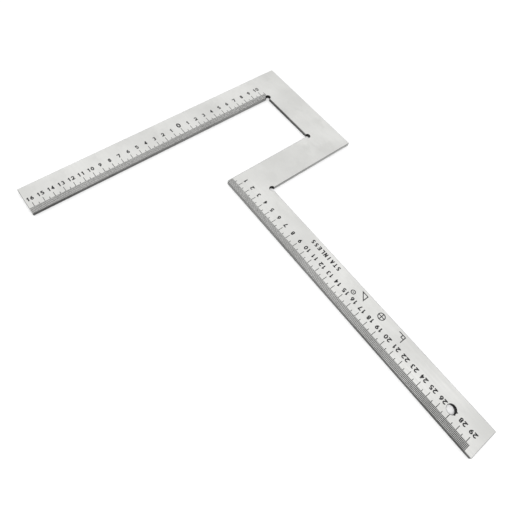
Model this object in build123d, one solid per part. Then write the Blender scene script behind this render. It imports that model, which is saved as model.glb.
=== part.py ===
from build123d import *
import os

# Flat steel marking square. One Z-shaped plate carries a centre-zero scale on its upper arm and
# a plain 29 cm scale on its long leg. Lengths are millimetres. The outline is drawn in the scale
# frame: its origin is the zero corner of the leg, +X runs right along the arm, +Y runs from the
# leg's free end towards the arm, and +Z leaves the face that carries the scales.

# plate
plate_thickness = 3.5
limb_width = 31.0        # every arm and leg of the plate is this wide
slot_height = 65.5       # clear gap between the upper arm and the return arm
slot_depth = 105.0       # from the zero corner to the crossbar
arm_left_reach = 165.0   # from the zero of the arm's scale to its free end
leg_length = 300.0       # from the zero corner to the leg's free end
zero_corner_radius = 2.0
outer_corner_radius = 0.5
edge_break = 0.3         # small chamfer round both faces

# holes
relief_radius = 2.5      # clearance hole at each inner corner
hanging_radius = 4.0
hanging_from_edge = 15.4
hanging_from_zero = 268.5

# scales
engraving_depth = 0.15
line_width = 0.5
mm_line = 6.3            # length of a line, measured from the scale's edge
half_cm_line = 8.3
cm_line = 11.2
zero_line = 13.5
leg_scale_end = 293      # last millimetre line on the leg
arm_long_end = 164       # last millimetre line on the arm's long side
arm_short_end = 105      # last millimetre line on the arm's short side

# numerals and marks
numeral_height = 4.4
numeral_stroke = 0.9
numeral_pitch = 3.7      # from one digit's middle to the next
leg_numeral_from_edge = 15.25
arm_numeral_from_edge = 15.7
zero_numeral_from_edge = 17.6
zero_numeral_height = 6.0
lettering = "STAINLESS"
lettering_pitch = 4.15
lettering_from_edge = 25.2
lettering_from_zero = 114.0
ring_from_edge = 20.6
ring_from_zero = 154.0
ring_radius = 2.3
dot_radius = 0.6
emblem_size = 7.2
emblem_stroke = 0.8
emblem_from_edge = 24.8
emblems_from_zero = {"set_square_emblem": 161.5, "centre_emblem": 184.0, "right_angle_emblem": 205.5}

# worked out
arm_edge = slot_height
right_side = slot_depth + limb_width
top_side = slot_height + limb_width
cutter_height = 1.0      # how far the engraving tools stand above the face
engraving_floor = plate_thickness - engraving_depth
box_centre = ((right_side - arm_left_reach) / 2, (top_side - leg_length) / 2)
to_row_frame = Pos(-box_centre[0], -box_centre[1], 0)

# one digit's centre line fits a box of this half width and half height
half_height = (numeral_height - numeral_stroke) / 2
half_width = 1.05
upper_bowl = 0.47 * half_height
lower_bowl = 0.53 * half_height
five_bowl = 0.60 * half_height
six_bowl = 0.58 * half_height


# ---------------------------------------------------------------- plate

def plate_outline():
    """The Z-shaped outline: arm, crossbar, return arm and long leg."""
    corners = [
        (-arm_left_reach, arm_edge),
        (slot_depth, arm_edge),
        (slot_depth, 0),
        (0, 0),
        (0, -leg_length),
        (limb_width, -leg_length),
        (limb_width, -limb_width),
        (right_side, -limb_width),
        (right_side, top_side),
        (-arm_left_reach, top_side),
    ]
    return make_face(Polyline(*corners, close=True))


def inner_corners():
    """The three concave corners, which carry the relief holes."""
    return [(slot_depth, arm_edge), (slot_depth, 0), (limb_width, -limb_width)]


def rounded_outline():
    """The outline with its convex corners rounded, the zero corner most of all."""
    outline = plate_outline()
    kept_sharp = [Vector(*corner) for corner in [(0, 0)] + inner_corners()]
    outer = [v for v in outline.vertices() if min((v.center() - c).length for c in kept_sharp) > 1]
    outline = fillet(outer, outer_corner_radius)
    zero_corner = outline.vertices().sort_by_distance((0, 0, 0))[0]
    return fillet(zero_corner, zero_corner_radius)


def plate_blank():
    """The plate before engraving, with its holes and broken edges."""
    outline = rounded_outline()
    for corner in inner_corners():
        outline -= Pos(*corner) * Circle(relief_radius)
    outline -= Pos(hanging_from_edge, -hanging_from_zero) * Circle(hanging_radius)
    blank = extrude(outline, amount=plate_thickness, dir=(0, 0, 1))
    faces = blank.faces().sort_by(Axis.Z)
    return chamfer(faces[0].edges() + faces[-1].edges(), edge_break)


# ---------------------------------------------------------------- glyphs

def pen(*path):
    """A stroke of the numerals' width along a path of joined lines and arcs."""
    return Sketch() + trace(list(path), numeral_stroke)


def bar(start, end):
    """A straight stroke."""
    return pen(Line(start, end))


def bowl(centre_y, radius):
    """A closed round stroke on the digit's axis."""
    outer = Circle(radius + numeral_stroke / 2)
    return Pos(0, centre_y) * (outer - Circle(radius - numeral_stroke / 2))


def zero_glyph():
    outer = Ellipse(half_width + numeral_stroke / 2, half_height + numeral_stroke / 2)
    return outer - Ellipse(half_width - numeral_stroke / 2, half_height - numeral_stroke / 2)


def one_glyph():
    stem_x = 0.25 * half_width
    stem = bar((stem_x, -numeral_height), (stem_x, numeral_height))
    flag = bar((-0.75 * half_width, 0.50 * half_height), (stem_x, 0.92 * half_height))
    return stem + flag


def two_glyph():
    arc = CenterArc((0, half_height - half_width), half_width, 165, -200)
    slope = Line(arc @ 1, (-0.85 * half_width, -half_height))
    foot = bar((-half_width - numeral_stroke / 2, -half_height), (half_width, -half_height))
    return pen(arc) + pen(slope) + foot


def three_glyph():
    upper = CenterArc((0, half_height - upper_bowl), upper_bowl, 155, -245)
    lower = CenterArc((0, lower_bowl - half_height), lower_bowl, 90, -245)
    return pen(upper) + pen(lower)


def four_glyph():
    stem_x = 0.45 * half_width
    bar_y = -0.42 * half_height
    stem = bar((stem_x, -numeral_height), (stem_x, numeral_height))
    cross = bar((-1.25 * half_width, bar_y), (1.25 * half_width, bar_y))
    return stem + cross + bar((-half_width, bar_y), (stem_x, half_height))


def five_glyph():
    top = bar((-0.75 * half_width, half_height), (half_width, half_height))
    side = bar((-0.62 * half_width, half_height + numeral_stroke / 2), (-0.82 * half_width, 0))
    arc = CenterArc((0, five_bowl - half_height), five_bowl, 135, -290)
    return top + side + pen(arc)


def six_glyph():
    start = (-six_bowl, six_bowl - half_height)
    stem = TangentArc(start, (0.75 * half_width, 0.97 * half_height), tangent=(0, 1))
    return bowl(six_bowl - half_height, six_bowl) + pen(stem)


def seven_glyph():
    top = bar((-half_width - numeral_stroke / 2, half_height), (half_width, half_height))
    return top + bar((half_width, half_height), (-0.35 * half_width, -numeral_height / 2))


def eight_glyph():
    return bowl(half_height - upper_bowl, upper_bowl) + bowl(lower_bowl - half_height, lower_bowl)


def nine_glyph():
    return Rot(0, 0, 180) * six_glyph()


def s_glyph():
    upper = CenterArc((0, half_height - upper_bowl), upper_bowl, 25, 245)
    lower = CenterArc((0, lower_bowl - half_height), lower_bowl, 90, -245)
    return pen(upper) + pen(lower)


def t_glyph():
    top = bar((-1.25 * half_width, half_height), (1.25 * half_width, half_height))
    return top + bar((0, -numeral_height / 2), (0, half_height))


def a_glyph():
    foot = -numeral_height / 2
    left = bar((-1.1 * half_width, foot), (0, numeral_height / 2))
    right = bar((1.1 * half_width, foot), (0, numeral_height / 2))
    level = -0.4 * half_height
    return left + right + bar((-0.6 * half_width, level), (0.6 * half_width, level))


def i_glyph():
    return bar((0, -numeral_height), (0, numeral_height))


def n_glyph():
    left = bar((-half_width, -numeral_height / 2), (-half_width, numeral_height / 2))
    right = bar((half_width, -numeral_height / 2), (half_width, numeral_height / 2))
    return left + right + bar((-half_width, numeral_height / 2), (half_width, -numeral_height / 2))


def l_glyph():
    stem = bar((-half_width, -numeral_height / 2), (-half_width, numeral_height / 2))
    return stem + bar((-half_width, -half_height), (1.2 * half_width, -half_height))


def e_glyph():
    middle = bar((-half_width, 0), (half_width, 0))
    top = bar((-half_width, half_height), (1.2 * half_width, half_height))
    return l_glyph() + middle + top


glyph_makers = {
    "0": zero_glyph, "1": one_glyph, "2": two_glyph, "3": three_glyph, "4": four_glyph,
    "5": five_glyph, "6": six_glyph, "7": seven_glyph, "8": eight_glyph, "9": nine_glyph,
    "S": s_glyph, "T": t_glyph, "A": a_glyph, "I": i_glyph, "N": n_glyph, "L": l_glyph, "E": e_glyph,
}


def glyph(character):
    """One character, centred on the origin and trimmed to the numerals' height."""
    return glyph_makers[character]() & Rectangle(2 * numeral_height, numeral_height)


glyphs = {character: glyph(character) for character in glyph_makers}


def word(text, pitch):
    """A row of characters, centred on the origin, one face for each."""
    first = -pitch * (len(text) - 1) / 2
    return [Pos(first + pitch * place, 0) * glyphs[character] for place, character in enumerate(text)]


# ---------------------------------------------------------------- scale parts

def line_length(millimetre):
    """Centimetre lines are longest, then half-centimetre lines, then millimetre lines."""
    if millimetre % 10 == 0:
        return cm_line
    return half_cm_line if millimetre % 5 == 0 else mm_line


def kind_of_line(millimetre):
    """The name of the group that a line belongs to."""
    kinds = {cm_line: "cm_lines", half_cm_line: "half_cm_lines", mm_line: "mm_lines"}
    return kinds[line_length(millimetre)]


def leg_line(millimetre):
    """A line across the leg, from its scale edge."""
    length = line_length(millimetre)
    return Pos(length / 2 - cutter_height / 2, -millimetre) * Rectangle(length + cutter_height, line_width)


def arm_line(x, length):
    """A line up the arm, from its scale edge."""
    middle = arm_edge + length / 2 - cutter_height / 2
    return Pos(x, middle) * Rectangle(line_width, length + cutter_height)


def leg_numeral(centimetre):
    """A number on the leg, read towards the zero corner."""
    place = Pos(leg_numeral_from_edge, -10 * centimetre) * Rot(0, 0, 90)
    return [place * face for face in word(str(centimetre), numeral_pitch)]


def arm_numeral(centimetre, side):
    """A number on the arm, side -1 for its long side and +1 for its short side."""
    place = Pos(side * 10 * centimetre, arm_edge + arm_numeral_from_edge)
    return [place * face for face in word(str(centimetre), numeral_pitch)]


def zero_numeral():
    """The larger zero in the middle of the arm's scale."""
    face = scale(glyphs["0"], by=zero_numeral_height / numeral_height)
    return [Pos(0, arm_edge + zero_numeral_from_edge) * face]


def frame_outline(face):
    """A closed band of the emblems' stroke just inside a face's outline."""
    return face - offset(face, amount=-emblem_stroke)


def set_square_emblem():
    """A set square: a triangle with a triangular window."""
    half = emblem_size / 2
    return frame_outline(make_face(Polyline((-half, -half), (half, -half), (-half, half), close=True)))


def centre_emblem():
    """A centre mark: a circle with a cross through it."""
    ring = frame_outline(Circle(emblem_size / 2))
    reach = emblem_size - emblem_stroke
    return ring + Rectangle(reach, emblem_stroke) + Rectangle(emblem_stroke, reach)


def right_angle_emblem():
    """A right-angle mark: an L with a small square in its corner."""
    half = emblem_size / 2
    upright = Pos(emblem_stroke / 2 - half, 0) * Rectangle(emblem_stroke, emblem_size)
    foot = Pos(0, emblem_stroke / 2 - half) * Rectangle(emblem_size, emblem_stroke)
    corner = Pos(-half / 2, -half / 2) * frame_outline(Rectangle(half, half))
    return upright + foot + corner


emblem_makers = {
    "set_square_emblem": set_square_emblem,
    "centre_emblem": centre_emblem,
    "right_angle_emblem": right_angle_emblem,
}


def ring_mark():
    """A small ring with a dot in it."""
    place = Pos(ring_from_edge, -ring_from_zero)
    ring = Circle(ring_radius) - Circle(ring_radius - emblem_stroke)
    return [place * ring, place * Circle(dot_radius)]


def steel_lettering():
    """The material's name, read towards the zero corner."""
    place = Pos(lettering_from_edge, -lettering_from_zero) * Rot(0, 0, 90)
    return [place * face for face in word(lettering, lettering_pitch)]


def markings():
    """Every group of engraved marks by node name, as lists of flat faces."""
    groups = {}
    for millimetre in range(1, leg_scale_end + 1):
        groups.setdefault("leg_" + kind_of_line(millimetre), []).append(leg_line(millimetre))
    groups["leg_numerals"] = []
    for centimetre in range(1, leg_scale_end // 10 + 1):
        groups["leg_numerals"] += leg_numeral(centimetre)
    for name, side, last in (("arm_long", -1, arm_long_end), ("arm_short", 1, arm_short_end)):
        for millimetre in range(1, last + 1):
            line = arm_line(side * millimetre, line_length(millimetre))
            groups.setdefault(f"{name}_{kind_of_line(millimetre)}", []).append(line)
        groups[f"{name}_numerals"] = []
        for centimetre in range(1, last // 10 + 1):
            groups[f"{name}_numerals"] += arm_numeral(centimetre, side)
    groups["arm_zero_line"] = [arm_line(0, zero_line)]
    groups["arm_zero_numeral"] = zero_numeral()
    groups["steel_lettering"] = steel_lettering()
    groups["ring_mark"] = ring_mark()
    for name, from_zero in emblems_from_zero.items():
        groups[name] = [Pos(emblem_from_edge, -from_zero) * Rot(0, 0, 90) * emblem_makers[name]()]
    return groups


# ---------------------------------------------------------------- export

def cutter(face):
    """The tool that engraves one mark, standing clear above the plate."""
    return extrude(Pos(0, 0, engraving_floor) * face, amount=engraving_depth + cutter_height, dir=(0, 0, 1))


def write_node(name, solids):
    """Write one node's solids, moved to the row frame."""
    export_step(Compound([to_row_frame * solid for solid in solids]), f"parts/{name}.step")
    print(name, len(solids), "solids")


os.makedirs("parts", exist_ok=True)
blank = plate_blank()
cutters = {name: [cutter(face) for face in faces] for name, faces in markings().items()}
plate = blank - [tool for tools in cutters.values() for tool in tools]
write_node("plate", plate.solids())
for name, tools in cutters.items():
    infill = [solid for tool in tools for solid in (blank & tool).solids()]
    write_node(name, infill)
print("row frame's origin from the zero corner:", box_centre)
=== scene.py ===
"""Flat steel marking square: an engraved satin steel plate with black enamel in its marks."""

import logging
import math
from collections.abc import Callable
from dataclasses import dataclass, field
from enum import Enum

import bmesh
import bpy
from mathutils import Euler, Matrix, Vector


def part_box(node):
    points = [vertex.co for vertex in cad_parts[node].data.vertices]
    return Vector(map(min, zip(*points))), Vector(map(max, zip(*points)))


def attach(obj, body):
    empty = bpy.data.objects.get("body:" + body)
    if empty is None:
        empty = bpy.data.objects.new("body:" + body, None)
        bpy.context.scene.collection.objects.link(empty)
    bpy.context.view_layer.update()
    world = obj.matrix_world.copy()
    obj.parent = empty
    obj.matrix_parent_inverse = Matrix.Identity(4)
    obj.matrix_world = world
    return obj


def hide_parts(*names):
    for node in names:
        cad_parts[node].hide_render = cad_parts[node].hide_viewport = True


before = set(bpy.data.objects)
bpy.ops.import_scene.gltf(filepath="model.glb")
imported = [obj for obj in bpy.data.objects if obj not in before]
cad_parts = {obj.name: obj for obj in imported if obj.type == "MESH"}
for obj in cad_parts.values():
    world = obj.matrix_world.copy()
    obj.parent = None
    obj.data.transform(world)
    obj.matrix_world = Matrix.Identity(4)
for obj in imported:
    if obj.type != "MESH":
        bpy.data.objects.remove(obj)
log = logging.getLogger("marking_square")

MM = 0.001
UP = Vector((0, 0, 1))
Socket = bpy.types.NodeSocket
Value = float | Socket
Drawing = Callable[["GlyphPen"], None]


class LineKind(Enum):
    """The three lengths of graduation, named as the nodes that they stand for."""

    MILLIMETRE = "mm_lines"
    HALF_CENTIMETRE = "half_cm_lines"
    CENTIMETRE = "cm_lines"


class Reading(Enum):
    """The turn that sets a row of characters along the arm or up the leg."""

    ALONG_ARM = 0.0
    UP_LEG = math.pi / 2


class PlateFace(Enum):
    """The material slot of each kind of plate surface."""

    GROUND_FACE = 0
    CUT_SIDE = 1
    BROKEN_EDGE = 2
    DRILLED_WALL = 3


@dataclass(frozen=True)
class SquareLayout:
    """The plate's sizes and the places of its scales, in metres.

    Args:
        low: Lowest corner of the plate.
        high: Highest corner of the plate.
    """

    low: Vector
    high: Vector
    limb_width: float = 31.0 * MM
    slot_height: float = 65.5 * MM
    slot_depth: float = 105.0 * MM
    relief_radius: float = 2.5 * MM
    hanging_radius: float = 4.0 * MM
    hanging_place: tuple = (15.4 * MM, -268.5 * MM)
    zero_corner_radius: float = 2.0 * MM
    outer_corner_radius: float = 0.5 * MM
    edge_break: float = 0.4 * MM
    engraving_depth: float = 0.15 * MM
    tool_clearance: float = 1.0 * MM

    @property
    def thickness(self) -> float:
        """The plate's thickness."""
        return self.high.z - self.low.z

    @property
    def zero_corner(self) -> Vector:
        """The corner that both scales are measured from, on the graduated face.

        Returns:
            The corner, in metres.
        """
        across = self.high.x - self.limb_width - self.slot_depth
        along = self.high.y - self.limb_width - self.slot_height
        return Vector((across, along, self.high.z))

    @property
    def inner_corners(self) -> list[Vector]:
        """The three concave corners, from the zero corner.

        Returns:
            The corners, from the slot round to the leg.
        """
        return [
            Vector((self.slot_depth, self.slot_height, 0)),
            Vector((self.slot_depth, 0, 0)),
            Vector((self.limb_width, -self.limb_width, 0)),
        ]

    @property
    def holes(self) -> list[tuple]:
        """The centre, from the zero corner, and the radius of each drilled hole."""
        relief = [(corner, self.relief_radius) for corner in self.inner_corners]
        return relief + [(Vector((*self.hanging_place, 0)), self.hanging_radius)]

    @property
    def outer_corners(self) -> list[Vector]:
        """The convex corners except the zero corner, from the zero corner.

        Returns:
            The corners in order round the plate.
        """
        low = self.low - self.zero_corner
        high = self.high - self.zero_corner
        return [
            Vector((low.x, self.slot_height, 0)),
            Vector((0, low.y, 0)),
            Vector((self.limb_width, low.y, 0)),
            Vector((high.x, -self.limb_width, 0)),
            Vector((high.x, high.y, 0)),
            Vector((low.x, high.y, 0)),
        ]

    @property
    def outline(self) -> list[Vector]:
        """All corners in order round the plate, from the zero corner.

        Returns:
            The ten corners in order.
        """
        arm_left, *leg_end, bar_low, bar_high, arm_top = self.outer_corners
        upper, lower, leg = self.inner_corners
        return [arm_left, upper, lower, Vector((0, 0, 0)), *leg_end, leg, bar_low, bar_high, arm_top]


# ---------------------------------------------------------------- mesh helpers


def new_piece(name: str, bm: bmesh.types.BMesh) -> bpy.types.Object:
    """Turns a bmesh into a linked object at the origin.

    Args:
        name: The piece's name.
        bm: The finished bmesh, which is freed.

    Returns:
        The new object.
    """
    mesh = bpy.data.meshes.new(name)
    bm.to_mesh(mesh)
    bm.free()
    piece = bpy.data.objects.new(name, mesh)
    bpy.context.scene.collection.objects.link(piece)
    return piece


def discard(piece: bpy.types.Object) -> None:
    """Removes a helper object and its mesh.

    Args:
        piece: The helper that is no longer needed.
    """
    mesh = piece.data
    bpy.data.objects.remove(piece)
    bpy.data.meshes.remove(mesh)


def boolean(
    body: bpy.types.Object, tool: bpy.types.Object, operation: str, name: str,
) -> bpy.types.Object:
    """Combines two closed pieces exactly.

    Args:
        body: The piece that is cut; it is kept as it is.
        tool: The cutting piece; it is kept as it is.
        operation: DIFFERENCE or INTERSECT.
        name: The result's name.

    Returns:
        A new object with the combined mesh.
    """
    cut = body.modifiers.new("engraving", "BOOLEAN")
    cut.operation = operation
    cut.solver = "EXACT"
    cut.use_self = True
    cut.object = tool
    graph = bpy.context.evaluated_depsgraph_get()
    mesh = bpy.data.meshes.new_from_object(body.evaluated_get(graph), depsgraph=graph)
    body.modifiers.remove(cut)
    mesh.name = name
    piece = bpy.data.objects.new(name, mesh)
    bpy.context.scene.collection.objects.link(piece)
    return piece


def thicken(bm: bmesh.types.BMesh, height: float) -> None:
    """Raises every flat face of a bmesh into a closed prism.

    Args:
        bm: The bmesh with the flat faces.
        height: The prisms' height.
    """
    raised = bmesh.ops.extrude_face_region(bm, geom=bm.faces[:], use_keep_orig=True)
    tops = [item for item in raised["geom"] if isinstance(item, bmesh.types.BMVert)]
    bmesh.ops.translate(bm, verts=tops, vec=UP * height)
    bmesh.ops.recalc_face_normals(bm, faces=bm.faces[:])


def smooth_by_angle(piece: bpy.types.Object, degrees: float) -> None:
    """Shades a piece smooth, with sharp edges where its faces turn by more than an angle."""
    piece.data.shade_smooth()
    piece.data.set_sharp_from_angle(angle=math.radians(degrees))


# ---------------------------------------------------------------- plate


@dataclass
class Plate:
    """The Z-shaped steel plate before and after engraving.

    Args:
        layout: The plate's sizes.
    """

    layout: SquareLayout
    hole_segments: int = 64
    edge_segments: int = 3
    corner_segments: int = 6
    flat_limit: float = 0.999
    upright_limit: float = 0.02

    def blank(self) -> bpy.types.Object:
        """Builds the plate with its holes and broken edges.

        Returns:
            The blank, with its place in its mesh.
        """
        block = self._block()
        drill = self._drills()
        drilled = boolean(block, drill, "DIFFERENCE", "plate_blank")
        discard(block)
        discard(drill)
        self._break_edges(drilled)
        return drilled

    def _block(self) -> bpy.types.Object:
        """Builds the outline with rounded corners and raises it to the plate's thickness.

        Returns:
            The block, not yet drilled.
        """
        layout = self.layout
        bm = bmesh.new()
        floor = layout.zero_corner - UP * layout.thickness
        verts = [bm.verts.new(floor + corner) for corner in layout.outline]
        bm.faces.new(verts)
        outer = {tuple((floor + corner)[:2]) for corner in layout.outer_corners}
        rounded = [vert for vert in verts if tuple(vert.co[:2]) in outer]
        zero = min(verts, key=lambda vert: (vert.co - floor).length)
        self._round_corners(bm, [zero], layout.zero_corner_radius)
        self._round_corners(bm, rounded, layout.outer_corner_radius)
        thicken(bm, layout.thickness)
        return new_piece("plate_block", bm)

    def _round_corners(self, bm: bmesh.types.BMesh, verts: list, radius: float) -> None:
        """Rounds corners of the flat outline.

        Args:
            bm: The bmesh with the outline.
            verts: The corners.
            radius: Their radius.
        """
        bmesh.ops.bevel(
            bm, geom=verts, offset=radius, offset_type="OFFSET", segments=self.corner_segments,
            profile=0.5, affect="VERTICES", material=-1,
        )

    def _drills(self) -> bpy.types.Object:
        """Builds the drills for the relief holes and the hanging hole.

        Returns:
            The drills as one object.
        """
        layout = self.layout
        bm = bmesh.new()
        depth = layout.thickness + 2 * layout.tool_clearance
        for centre, radius in layout.holes:
            place = Matrix.Translation(layout.zero_corner + centre - UP * layout.thickness / 2)
            bmesh.ops.create_cone(
                bm, cap_ends=True, segments=self.hole_segments, radius1=radius, radius2=radius,
                depth=depth, matrix=place,
            )
        return new_piece("drills", bm)

    def _break_edges(self, piece: bpy.types.Object) -> None:
        """Rounds off the rims of both faces.

        Args:
            piece: The drilled plate.
        """
        bm = bmesh.new()
        bm.from_mesh(piece.data)
        bmesh.ops.remove_doubles(bm, verts=bm.verts[:], dist=self.layout.edge_break / 300)
        rims = [edge for edge in bm.edges if self._is_rim(edge)]
        bmesh.ops.bevel(
            bm, geom=rims, offset=self.layout.edge_break, offset_type="OFFSET",
            segments=self.edge_segments, profile=0.5, affect="EDGES", material=-1,
        )
        bm.to_mesh(piece.data)
        bm.free()

    def _is_rim(self, edge: bmesh.types.BMEdge) -> bool:
        """Whether an edge joins a flat face to an upright one."""
        slopes = sorted(abs(face.normal.z) for face in edge.link_faces)
        return len(slopes) == 2 and slopes[0] < self.upright_limit and slopes[1] > self.flat_limit

    def set_slots(self, piece: bpy.types.Object) -> None:
        """Sets each face's slot from its slope and place, and keeps the flat faces flat.

        Args:
            piece: The engraved plate.
        """
        for face in piece.data.polygons:
            slope = abs(face.normal.z)
            if slope > self.flat_limit:
                face.material_index = PlateFace.GROUND_FACE.value
                face.use_smooth = False
            # Hole walls get the near-black finish, which is painted shade.
            elif self._is_drilled(face.center):
                face.material_index = PlateFace.DRILLED_WALL.value
            elif slope > self.upright_limit:
                face.material_index = PlateFace.BROKEN_EDGE.value
            else:
                face.material_index = PlateFace.CUT_SIDE.value

    def _is_drilled(self, place: Vector) -> bool:
        """Whether a place lies on a hole's wall.

        Args:
            place: A face's middle.

        Returns:
            Whether it lies on a drilled wall or its broken edge.
        """
        spot = (place - self.layout.zero_corner).to_2d()
        gaps = [abs((spot - centre.to_2d()).length - radius) for centre, radius in self.layout.holes]
        return min(gaps) < self.layout.edge_break


# ---------------------------------------------------------------- characters


@dataclass
class GlyphPen:
    """Draws one character as flat strokes, centred on the origin.

    Args:
        bm: The bmesh that the strokes are added to.
        height: The character's full height.
        stroke: The stroke's width.
        half_width: Half the width of the stroke's centre line.
    """

    bm: bmesh.types.BMesh
    height: float
    stroke: float
    half_width: float
    arc_step: float = math.radians(14)

    @property
    def half_height(self) -> float:
        """Half the height of the stroke's centre line."""
        return (self.height - self.stroke) / 2

    def bar(self, start: tuple, end: tuple) -> None:
        """Draws a straight stroke between two points.

        Args:
            start: The centre line's first point.
            end: Its last point.
        """
        first, last = Vector((*start, 0)), Vector((*end, 0))
        across = (last - first).cross(UP).normalized() * self.stroke / 2
        edge = self.bm.edges.new([self.bm.verts.new(first - across), self.bm.verts.new(first + across)])
        grown = bmesh.ops.extrude_edge_only(self.bm, edges=[edge])
        ends = [item for item in grown["geom"] if isinstance(item, bmesh.types.BMVert)]
        bmesh.ops.translate(self.bm, verts=ends, vec=last - first)

    def arc(self, centre: tuple, radius: float, start: float, sweep: float) -> tuple:
        """Draws a round stroke.

        Args:
            centre: The arc's centre.
            radius: The centre line's radius.
            start: The start angle in degrees.
            sweep: The turn in degrees, negative for clockwise.

        Returns:
            The point where the centre line ends.
        """
        middle = Vector((*centre, 0))
        ray = Vector((math.cos(math.radians(start)), math.sin(math.radians(start)), 0))
        near = self.bm.verts.new(middle + ray * (radius - self.stroke / 2))
        far = self.bm.verts.new(middle + ray * (radius + self.stroke / 2))
        edge = self.bm.edges.new([near, far])
        turn = math.radians(sweep)
        steps = max(2, round(abs(turn) / self.arc_step))
        bmesh.ops.spin(
            self.bm, geom=[edge], cent=middle, axis=UP, angle=turn, steps=steps, use_duplicate=False,
        )
        end = math.radians(start + sweep)
        return (centre[0] + radius * math.cos(end), centre[1] + radius * math.sin(end))

    def oval(self, centre_y: float, half_width: float, half_height: float) -> None:
        """Draws a closed oval stroke on the character's axis.

        Args:
            centre_y: The oval's middle.
            half_width: Half the centre line's width.
            half_height: Half its height.
        """
        loops = []
        for side in (-1, 1):
            grow = side * self.stroke / 2
            size = Matrix.Diagonal((half_width + grow, half_height + grow, 1, 1))
            place = Matrix.Translation((0, centre_y, 0)) @ size
            ring = bmesh.ops.create_circle(self.bm, segments=28, radius=1, matrix=place)["verts"]
            loops += {edge for vert in ring for edge in vert.link_edges}
        bmesh.ops.bridge_loops(self.bm, edges=loops)

    def trim(self) -> None:
        """Cuts the strokes off level at the character's top and foot."""
        for side in (-1, 1):
            geometry = self.bm.verts[:] + self.bm.edges[:] + self.bm.faces[:]
            bmesh.ops.bisect_plane(
                self.bm, geom=geometry, plane_co=(0, side * self.height / 2, 0),
                plane_no=(0, side, 0), clear_outer=True,
            )


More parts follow.
